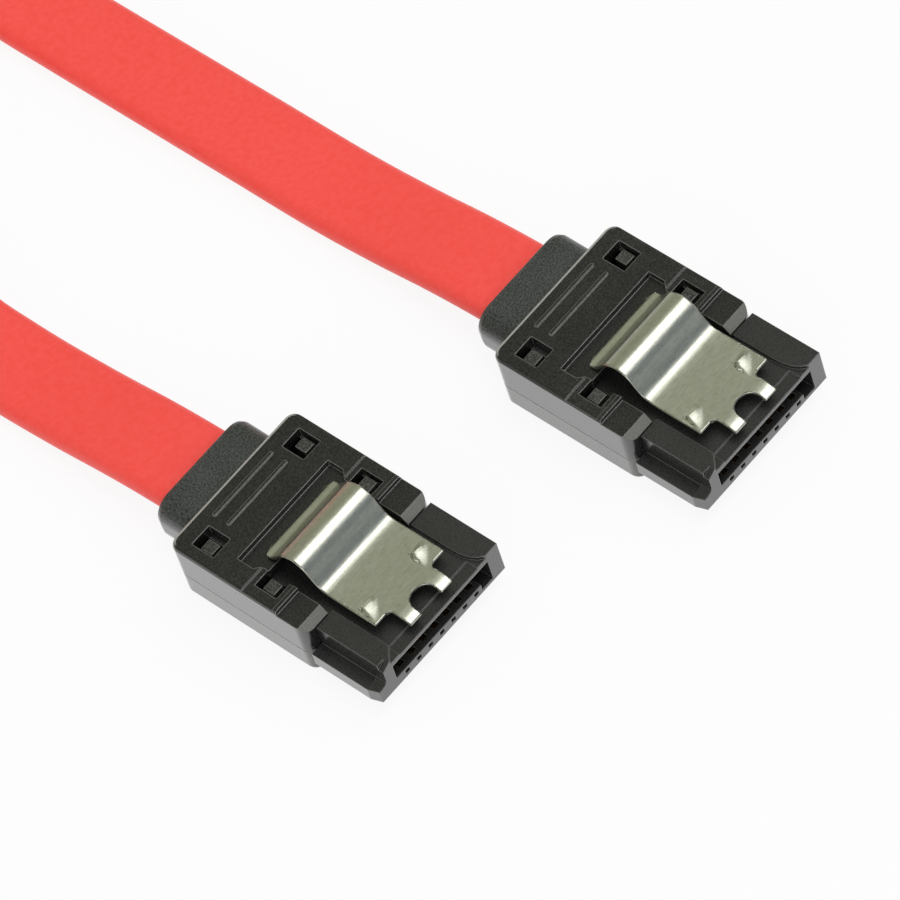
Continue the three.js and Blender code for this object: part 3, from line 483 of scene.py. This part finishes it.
@dataclass
class Studio:
    """A pale floor, soft light and the camera that the photograph was taken with."""

    # the camera was solved from the photograph: its place, and the frame's right, down and ahead
    focal_mm: float = 320.0
    sensor_mm: float = 36.0
    camera_mm: Point = (-183.14, -277.34, 471.17)
    right: Point = (0.63912338, -0.74387643, -0.19536928)
    down: Point = (-0.70081832, -0.45863490, -0.54635859)
    ahead: Point = (0.31682010, 0.48610892, -0.81444652)
    clip_m: tuple[float, float] = (0.02, 20.0)
    # the floor lies a hair under the object, and 0.9 of what the camera sees of it is plain white
    floor_half_mm: float = 4000.0
    floor_z_mm: float = -0.02
    floor_glow: float = 0.9
    floor_colour: str = "#F2F2F2"
    white: str = "#FFFFFF"
    # the room as metal mirrors it, in front and behind, and as everything else is lit by it
    front_sky: str = "#868C93"
    back_sky: str = "#9EA18E"
    plain_sky: str = "#C6C6C6"
    sky_blend: float = 0.3
    lights: tuple[Softbox, ...] = (
        Softbox("softbox_overhead", (285, -142, 893), (760, 520), 3.7),
        Softbox("softbox_front_left", (-800, -500, 420), (500, 500), 1.5))

    def camera(self) -> None:
        """Makes the camera and sets it as the scene's own."""
        data = bpy.data.cameras.new("camera")
        data.lens = self.focal_mm
        data.sensor_width = self.sensor_mm
        data.clip_start, data.clip_end = self.clip_m
        body = bpy.data.objects.new("camera", data)
        axes = Matrix((self.right, [-v for v in self.down], [-v for v in self.ahead])).transposed()
        body.matrix_world = Matrix.Translation(Vector(self.camera_mm) * MM) @ axes.to_4x4()
        bpy.context.scene.collection.objects.link(body)
        bpy.context.scene.camera = body

    def floor(self) -> None:
        """Makes the floor: white to the camera and in reflections, and it keeps the shadow."""
        material, tree = new_material("floor_white")
        path = add_node(tree, "ShaderNodeLightPath")
        seen = path.outputs["Is Camera Ray"]
        for name in ("Is Glossy Ray", "Is Transmission Ray"):
            seen = add_node(tree, "ShaderNodeMath", {"operation": "MAXIMUM"},
                            {0: seen, 1: path.outputs[name]}).outputs[0]
        share = add_node(tree, "ShaderNodeMath", {"operation": "MULTIPLY", 1: self.floor_glow},
                         {0: seen})
        matt = add_node(tree, "ShaderNodeBsdfDiffuse", {"Color": linear(self.floor_colour)})
        glow = add_node(tree, "ShaderNodeEmission", {"Color": linear(self.white), "Strength": 1.0})
        both = add_node(tree, "ShaderNodeMixShader", None,
                        {0: share.outputs[0], 1: matt.outputs[0], 2: glow.outputs[0]})
        add_node(tree, "ShaderNodeOutputMaterial", None, {"Surface": both.outputs[0]})
        h, z = self.floor_half_mm, self.floor_z_mm
        sheet = mesh_object("floor", [(-h, -h, z), (h, -h, z), (h, h, z), (-h, h, z)],
                            [(0, 1, 2, 3)], material)

    def world(self) -> None:
        """Makes the room: cool in front, warm behind, so that metal has a range of tones."""
        world = bpy.data.worlds.new("studio")
        world.use_nodes = True
        tree = world.node_tree
        tree.nodes.clear()
        way = add_node(tree, "ShaderNodeTexCoord").outputs["Generated"]
        parts = add_node(tree, "ShaderNodeSeparateXYZ", None, {0: way})
        behind = add_node(tree, "ShaderNodeMapRange",
                          {"From Min": -self.sky_blend, "From Max": self.sky_blend},
                          {"Value": parts.outputs["Y"]})
        mirrored = add_node(tree, "ShaderNodeMix",
                            {"data_type": "RGBA", 6: linear(self.front_sky), 7: linear(self.back_sky)},
                            {0: behind.outputs[0]})
        path = add_node(tree, "ShaderNodeLightPath")
        room = add_node(tree, "ShaderNodeMix", {"data_type": "RGBA", 6: linear(self.plain_sky)},
                        {0: path.outputs["Is Glossy Ray"], 7: mirrored.outputs[2]})
        shown = add_node(tree, "ShaderNodeMix", {"data_type": "RGBA", 7: linear(self.white)},
                         {0: path.outputs["Is Camera Ray"], 6: room.outputs[2]})
        back = add_node(tree, "ShaderNodeBackground", {"Strength": 1.0}, {"Color": shown.outputs[2]})
        add_node(tree, "ShaderNodeOutputWorld", None, {"Surface": back.outputs[0]})
        bpy.context.scene.world = world

    def build(self) -> None:
        """Makes the floor, the room and the lights."""
        self.floor()
        self.world()
        for light in self.lights:
            light.hang()
        bpy.context.scene.view_settings.view_transform = "Standard"


# ---- cable


@dataclass
class FlatCable:
    """The flat jacket: two legs and the coil between them, one swept section on one route.

    Leg A lies flat, turns up on edge and runs into the coil, whose turns stand on edge beside
    each other. The cable then turns on, climbs over the turns and comes back flat to plug B.
    """

    # the legs in side view, as distance from the plug's mating face and height, in millimetres;
    # leg B's points also have the step aside that leads out of the coil
    LEG_A: ClassVar[Profile] = ((19.5, 2.9), (24.05, 2.9), (29, 2.5), (35, 1.6), (41, 1.05), (47, 1.05))
    LEG_A_BEND: ClassVar[tuple[int, ...]] = (4, 20, 36, 52, 68)
    LEG_B: ClassVar[tuple[Point, ...]] = (
        (-2.6, 114.5, 8.6), (-1.6, 108.5, 8.6), (-0.8, 103, 8.6), (-0.3, 98, 8.55), (-0.1, 94, 8.0),
        (0, 90, 6.7), (0, 86, 4.9), (0, 82, 3.05), (0, 78, 1.75), (0, 74, 1.15), (0, 68, 1.05),
        (0, 60, 1.05), (0, 50, 1.05), (0, 41, 1.05), (0, 35, 1.6), (0, 29, 2.5), (0, 24.05, 2.9),
        (0, 19.5, 2.9))
    # where along the section's width its faces are dished, as shares of the straight part
    DISH_AT: ClassVar[tuple[float, ...]] = (0.6, 0.2, -0.2, -0.6)

    width: float = 7.5
    thickness: float = 2.0
    height: float = 2.9
    coil_x: float = -25.6
    coil_y: float = 104.0
    coil_radius: float = 37.5
    coil_entry_degrees: float = 265.0
    coil_sweep_degrees: float = 625.0
    pitch: float = 3.0
    bend_radius: float = 18.0
    bend_start: float = 53.0
    twist_start: float = 46.0
    twist_length: float = 17.0
    untwist_length: float = 62.0
    untwist_end: tuple[float, float] = (-3.2, 118.0)
    climb_degrees: float = 25.0
    rest_height: float = 1.05
    edge_height: float = 3.8
    cross_height: float = 8.6
    rise_share: float = 0.9
    exit_y: float = 23.05
    real_length_m: float = 0.57
    dish: float = 0.03
    section_steps: int = 7
    points_per_turn: int = 16
    samples_per_span: int = 6
    route: list[Vector] = field(default_factory=list)
    turn_angles: list[float] = field(default_factory=list)

    def leg_a_points(self) -> list[Vector]:
        """Works out the route's points from the boot of plug A to the coil.

        Returns:
            The points, in millimetres.
        """
        origin = End.A.origin
        points = [origin + Vector((0, y, z)) for y, z in self.LEG_A]
        for degrees in self.LEG_A_BEND:
            turn = math.radians(degrees)
            points.append(origin + Vector((self.bend_radius * (math.cos(turn) - 1),
                                           self.bend_start + self.bend_radius * math.sin(turn),
                                           self.rest_height)))
        return points

    def coil_points(self) -> list[Vector]:
        """Works out the coil's points, on a spiral that runs inwards.

        Returns:
            The points, in millimetres.
        """
        turns = self.coil_sweep_degrees / 360
        count = round(turns * self.points_per_turn)
        half_spread = turns * self.pitch / 2
        points = []
        for index in range(count + 1):
            share = index / count
            angle = math.radians(self.coil_entry_degrees - self.coil_sweep_degrees * share)
            radius = self.coil_radius + half_spread * (1 - 2 * share)
            level = self.edge_height if share < self.rise_share else self.cross_height
            points.append(Vector((self.coil_x + radius * math.cos(angle),
                                  self.coil_y + radius * math.sin(angle), level)))
        return points

    def leg_b_points(self) -> list[Vector]:
        """Returns the route's points from the coil to the boot of plug B."""
        return [End.B.origin + Vector(point) for point in self.LEG_B]

    def lay_out(self) -> None:
        """Works out the sampled route, how far the section has turned and its height."""
        legs = self.leg_a_points(), self.coil_points(), self.leg_b_points()
        self.route = smooth_line([p for part in legs for p in part], self.samples_per_span)
        lengths = [0.0]
        for before, after in zip(self.route, self.route[1:]):
            lengths.append(lengths[-1] + (after - before).length)
        twist_at = End.A.origin + Vector((0, self.twist_start, self.rest_height))
        twist = self.station(lengths, twist_at, True)
        on_edge = twist + self.twist_length
        flat_at = End.B.origin + Vector((*self.untwist_end, self.cross_height))
        flat_again = self.station(lengths, flat_at, False)
        untwist = flat_again - self.untwist_length
        for index, place in enumerate(lengths):
            first = 90 * ease((place - twist) / (on_edge - twist))
            second = 90 * ease((place - untwist) / (flat_again - untwist))
            self.turn_angles.append(math.radians(first + second))
            self.route[index].z = self.height_at(self.route[index].z, first, second)
        LOG.info("cable route %.1f mm long", lengths[-1])

    def height_at(self, level: float, first: float, second: float) -> float:
        """Works out the route's height while the cable turns on edge and flat again.

        Args:
            level: The height that the route's points give, in millimetres.
            first: How far it has turned on edge, in degrees.
            second: How far it has turned on from there, in degrees.

        Returns:
            The height that keeps the cable's lower side on the floor or on the turns below it.
        """
        if first <= 0 or second >= 90:
            return level
        if second <= 0:
            rise = self.edge_height - self.rest_height
            return self.rest_height + rise * math.sin(math.radians(first))
        tilt = math.radians(second)
        above = self.cross_height - (self.edge_height - self.rest_height) * math.cos(tilt)
        return self.edge_height + (above - self.edge_height) * ease(second / self.climb_degrees)

    def station(self, lengths: list[float], place: Vector, first: bool) -> float:
        """Finds how far along the route a place is.

        Args:
            lengths: The length of the route up to each sample.
            place: A place near the route, in millimetres.
            first: Whether the search is in the route's first half.

        Returns:
            The length of the route up to the nearest sample.
        """
        half = len(self.route) // 2
        span = range(half) if first else range(half, len(self.route))
        return lengths[min(span, key=lambda i: (self.route[i] - place).length)]

    def section(self) -> list[tuple[float, float]]:
        """Works out the flat section: two half rounds joined by faintly dished faces.

        Returns:
            The section's points, across the cable and along its thickness, in millimetres.
        """
        radius = self.thickness / 2
        straight = self.width / 2 - radius
        right = []
        for step in range(self.section_steps + 1):
            angle = math.radians(-90 + 180 * step / self.section_steps)
            right.append((straight + radius * math.cos(angle), radius * math.sin(angle)))
        inner = [(straight * k, radius - self.dish * (1 - k * k)) for k in self.DISH_AT]
        left = [(-a, -b) for a, b in right]
        return [*right, *inner, *left, *[(-a, -b) for a, b in inner]]

    def build(self) -> bpy.types.Object:
        """Sweeps the section along the route, in the place of the CAD's legs and coil.

        Returns:
            The jacket's object.
        """
        self.lay_out()
        section = self.section()
        count = len(section)
        points: list[Vector] = []
        for index, place in enumerate(self.route):
            before = self.route[max(index - 1, 0)]
            after = self.route[min(index + 1, len(self.route) - 1)]
            ahead = (after - before).normalized()
            right = ahead.cross(Vector((0, 0, 1))).normalized()
            up = right.cross(ahead)
            turn = self.turn_angles[index]
            across = right * math.cos(turn) + up * math.sin(turn)
            normal = up * math.cos(turn) - right * math.sin(turn)
            points += [place + across * a + normal * b for a, b in section]
        faces: list[tuple[int, ...]] = []
        for ring in range(len(self.route) - 1):
            base = ring * count
            for k in range(count):
                n = (k + 1) % count
                faces.append((base + k, base + n, base + count + n, base + count + k))
        faces.append(tuple(reversed(range(count))))
        faces.append(tuple(range(len(points) - count, len(points))))
        jacket = mesh_object("cable_jacket", points, faces, JACKET_FINISH.build())
        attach(jacket, "cable")
        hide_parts("cable_leg_a", "cable_leg_b", "cable_coil")
        return jacket


@dataclass
class CoilStrap:
    """A woven strap closed round the two turns at the far side of the coil."""

    width: float = 6.0
    thickness: float = 0.6
    corner: float = 0.7
    edge: float = 0.12
    steps: int = 5

    def loop(self) -> list[tuple[float, float]]:
        """Works out the strap's closed middle line, inside the CAD node's box.

        Returns:
            The line's points in y and z, in millimetres.
        """
        low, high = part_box("cable_tie")
        half = self.thickness / 2
        y0, z0 = low.y / MM + half, low.z / MM + half
        y1, z1 = high.y / MM - half, high.z / MM - half
        r = self.corner
        line = [((y0 + y1) / 2, z1)]
        for cy, cz, start in ((y1 - r, z1 - r, 90), (y1 - r, z0 + r, 0), (y0 + r, z0 + r, -90),
                              (y0 + r, z1 - r, -180)):
            for step in range(self.steps + 1):
                angle = math.radians(start - 90 * step / self.steps)
                line.append((cy + r * math.cos(angle), cz + r * math.sin(angle)))
        return line

    def build(self, x_mm: float) -> bpy.types.Object:
        """Makes the strap.

        Args:
            x_mm: The middle of its width.

        Returns:
            The strap's object.
        """
        line = self.loop()
        count = len(line)
        half, depth = self.width / 2, self.thickness / 2
        points, faces = [], []
        for index, (y, z) in enumerate(line):
            before, after = line[index - 1], line[(index + 1) % count]
            run = Vector((after[0] - before[0], after[1] - before[1])).normalized()
            side = Vector((-run.y, run.x))
            for x, d in ((-half, -depth), (half, -depth), (half, depth), (-half, depth)):
                points.append((x_mm + x, y + side.x * d, z + side.y * d))
        for index in range(count):
            a, b = index * 4, (index + 1) % count * 4
            for k in range(4):
                n = (k + 1) % 4
                faces.append((a + k, b + k, b + n, a + n))
        strap = mesh_object("coil_strap", points, faces, STRAP_FINISH.build())
        trim = strap.modifiers.new("soft_edges", "BEVEL")
        trim.width = self.edge * MM
        trim.segments = 2
        trim.limit_method = "ANGLE"
        trim.angle_limit = SHARP_ANGLE
        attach(strap, "cable")
        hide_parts("cable_tie")
        return strap


# ---- plug


@dataclass
class LatchSpring:
    """A bent leaf of spring steel with a hump, two barbs and two fingers.

    y runs from the plug's mating face towards the cable, and z up, both in millimetres.
    """

    # the bends, as y and z from the rear strip's front end, the hump's crest and the foot's crease
    FOLD: ClassVar[Profile] = ((0.15, 0), (0, 0.04), (-0.28, 0.31), (-1.28, 1.42))
    CREST: ClassVar[Profile] = ((0.7, -0.28), (0.4, -0.135), (0, -0.015), (-0.35, -0.015),
                                (-0.7, -0.125), (-1.05, -0.315), (-1.3, -0.555))
    CREASE: ClassVar[Profile] = ((0.66, 1.13), (0.36, 0.7), (0.06, 0.36), (-0.29, 0.14),
                                 (-0.7, 0.035), (-1.15, 0))

    centre: float = 0.25
    half_width: float = 3.8
    thickness: float = 0.25
    rear: float = 13.2
    strip_length: float = 0.85
    strip_height: float = 5.475
    hump_y: float = 10.1
    hump_rise: float = 1.87
    crease_y: float = 7.87
    plate_drop: float = 0.2
    front: float = 2.4
    finger_inner: float = 1.07
    finger_outer: float = 2.28
    finger_tip: float = 0.4
    finger_bend: float = 0.75
    finger_drop: float = 0.27
    fillet: float = 0.35
    notch_rise: float = 0.35
    tail_half: float = 3.2
    tail_length: float = 0.85
    barb_left: float = -0.5
    barb_x: float = 2.75
    barb_width: float = 1.4
    barb_lean: float = 0.22
    barb_front: float = 2.5
    barb_crest: float = 4.1
    barb_rise: float = 0.3
    barb_edge: float = 0.08
    barb_rear_length: float = 0.1
    edge: float = 0.11
    row_gap: float = 0.08
    line_steps: int = 24
    inner_steps: int = 40
    outer_steps: int = 18

    def profile(self) -> list[Vector]:
        """Works out the leaf's middle line, from the rear to the fingers' tips.

        Returns:
            The line's samples, with y and z in their first two values.
        """
        strip = self.strip_height
        plate = strip - self.plate_drop
        hump = strip + self.hump_rise
        strip_front = self.rear - self.strip_length
        tip = self.finger_tip
        known = [(self.rear, strip)]
        known += [(strip_front + y, strip + z) for y, z in self.FOLD]
        known += [(self.hump_y + y, hump + z) for y, z in self.CREST]
        known += [(self.crease_y + y, plate + z) for y, z in self.CREASE]
        known += [(self.front, plate), (tip + self.finger_bend + 0.25, plate),
                  (tip + self.finger_bend * 0.6, plate - self.finger_drop * 0.3),
                  (tip, plate - self.finger_drop)]
        return smooth_line([(y, z, 0.0) for y, z in known], self.line_steps)

    def rows(self) -> list[tuple[float, float, float, float]]:
        """Works out the rows of the leaf's mesh, the tail's first and the fingers' last.

        Returns:
            The y, z, inner half width and outer half width of each row.
        """
        line = self.profile()
        fold = self.rear - self.thickness / 2
        tail = [(fold, self.strip_height - self.tail_length, 0.0, self.tail_half),
                (fold, self.strip_height - 0.2, 0.0, self.tail_half),
                (fold - 0.06, self.strip_height - 0.06, 0.0, self.tail_half)]
        rows = []
        last = None
        marks = [self.front, self.front - 0.001, self.front - self.notch_rise]
        for point in line:
            y, z = point.x, point.y
            if y > fold - 0.2:
                continue
            for mark in marks:
                if last and last[0] > mark > y:
                    share = (last[0] - mark) / (last[0] - y)
                    rows.append(self.row(mark, last[1] + (z - last[1]) * share))
            if last is None or math.dist(last, (y, z)) >= self.row_gap:
                rows.append(self.row(y, z))
                last = (y, z)
        rows.append(self.row(self.finger_tip, line[-1].y))
        return tail + sorted(rows, key=lambda row: -row[0])

    def row(self, y: float, z: float) -> tuple[float, float, float, float]:
        """Gives a row the half widths that the leaf's plan outline has at it.

        Args:
            y: The row's place along the leaf.
            z: The row's height.

        Returns:
            The row's y, z, inner half width and outer half width.
        """
        inner, outer = 0.0, self.half_width
        if y < self.front:
            corner = self.front - self.fillet
            outer = self.finger_outer
            if y > corner:
                outer += self.fillet * (1 - math.sqrt(max(1 - ((y - corner) / self.fillet) ** 2, 0)))
            middle = self.front - self.finger_inner - self.notch_rise
            rise = min(max((y - middle) / self.finger_inner, 0.0), 1.0)
            inner = self.finger_inner * math.sqrt(1 - rise * rise)
        return y, z, inner, outer

    def barb(self, x: float, y: float) -> float:
        """Works out how far a barb lifts the leaf: a half cone, sheared behind and on its left.

        Args:
            x: The place across the leaf, from its middle.
            y: The place along the leaf.

        Returns:
            The lift, in millimetres.
        """
        place = x - math.copysign(self.barb_x, x) - self.barb_left
        place += self.barb_lean * (self.barb_crest - y)
        sheared = ease((place + self.barb_edge) / self.barb_edge)
        ramp = (y - self.barb_front) / (self.barb_crest - self.barb_front)
        ramp = min(ramp, 1 - (y - self.barb_crest) / self.barb_rear_length, 1.0)
        if ramp <= 0:
            return 0.0
        across = max(place, 0.0) / (self.barb_width * ramp ** 0.6)
        return self.barb_rise * ramp ** 1.4 * max(1 - across ** 2, 0.0) * sheared

    def build(self, end: End) -> bpy.types.Object:
        """Makes the leaf of one plug.

        Args:
            end: The plug's end.

        Returns:
            The leaf's object.
        """
        rows = self.rows()
        knee = self.finger_outer + self.fillet
        mesh = bmesh.new()
        for side in (-1, 1):
            grid = []
            for y, z, inner, outer in rows:
                bend = min(knee, outer)
                xs = [inner + (bend - inner) * k / self.inner_steps
                      for k in range(self.inner_steps + 1)]
                if outer > knee + 0.01:
                    xs += [bend + (outer - bend) * k / self.outer_steps
                           for k in range(1, self.outer_steps + 1)]
                ring = []
                for x in xs:
                    spot = end.origin + Vector((self.centre + side * x, y, z + self.barb(side * x, y)))
                    ring.append(mesh.verts.new(spot * MM))
                grid.append(ring)
            for ring, following in zip(grid, grid[1:]):
                for k in range(min(len(ring), len(following)) - 1):
                    face = (ring[k], ring[k + 1], following[k + 1], following[k])
                    mesh.faces.new(face if side > 0 else face[::-1])
        bmesh.ops.remove_doubles(mesh, verts=mesh.verts, dist=0.004 * MM)
        bmesh.ops.recalc_face_normals(mesh, faces=mesh.faces)
        data = bpy.data.meshes.new(f"latch_leaf_{end.letter}")
        mesh.to_mesh(data)
        mesh.free()
        data.polygons.foreach_set("use_smooth", [True] * len(data.polygons))
        data.materials.append(bpy.data.materials.get(LATCH_FINISH.name) or LATCH_FINISH.build())
        leaf = bpy.data.objects.new(data.name, data)
        bpy.context.scene.collection.objects.link(leaf)
        thick = leaf.modifiers.new("thickness", "SOLIDIFY")
        thick.thickness = self.thickness * MM
        thick.offset = 0.0
        trim = leaf.modifiers.new("edges", "BEVEL")
        trim.width = self.edge * MM
        trim.segments = 3
        trim.limit_method = "ANGLE"
        trim.angle_limit = SHARP_ANGLE
        trim.harden_normals = True
        trim.use_clamp_overlap = False
        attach(leaf, f"latch_{end.letter}")
        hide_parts(f"latch_spring_{end.letter}")
        return leaf


@dataclass
class Plug:
    """One plug: its CAD mouldings in their finishes, and the sprung leaf."""

    end: End
    contact_count: int = 7
    ground_step: int = 3
    leaf: LatchSpring = field(default_factory=LatchSpring)

    def dress(self, node: str, finish: MouldedPlastic | RolledMetal) -> None:
        """Gives a CAD node its finish.

        Args:
            node: The node's name.
            finish: Its finish.
        """
        material = bpy.data.materials.get(finish.name) or finish.build()
        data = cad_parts[node].data
        data.materials.clear()
        data.materials.append(material)

    def build(self) -> None:
        """Dresses this plug's nodes and makes its leaf."""
        letter = self.end.letter
        self.dress(f"nose_{letter}", NOSE_FINISH)
        self.dress(f"upper_shell_{letter}", SHELL_FINISH)
        self.dress(f"lower_shell_{letter}", TRAY_FINISH)
        self.dress(f"strain_relief_{letter}", RELIEF_FINISH)
        for number in range(1, self.contact_count + 1):
            self.dress(f"contact_{letter}_{number}", CONTACT_FINISH)
            # contacts 1, 4 and 7 are grounds and take the bare drain wires
            if number % self.ground_step == 1:
                self.dress(f"drain_wire_{letter}_{number}", DRAIN_FINISH)
            else:
                self.dress(f"core_wire_{letter}_{number}", CORE_FINISH)
        self.leaf.build(self.end)


def main() -> None:
    """Builds the camera, the cord, the plugs and the studio."""
    logging.basicConfig(level=logging.INFO, format="%(name)s: %(message)s")
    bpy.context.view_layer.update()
    studio = Studio()
    studio.camera()
    cable = FlatCable()
    jacket = cable.build()
    strap = CoilStrap().build(cable.coil_x)
    for end in End:
        Plug(end).build()
        LOG.info("plug %s dressed", end.letter)
    studio.build()


if __name__ == "__main__":
    main()
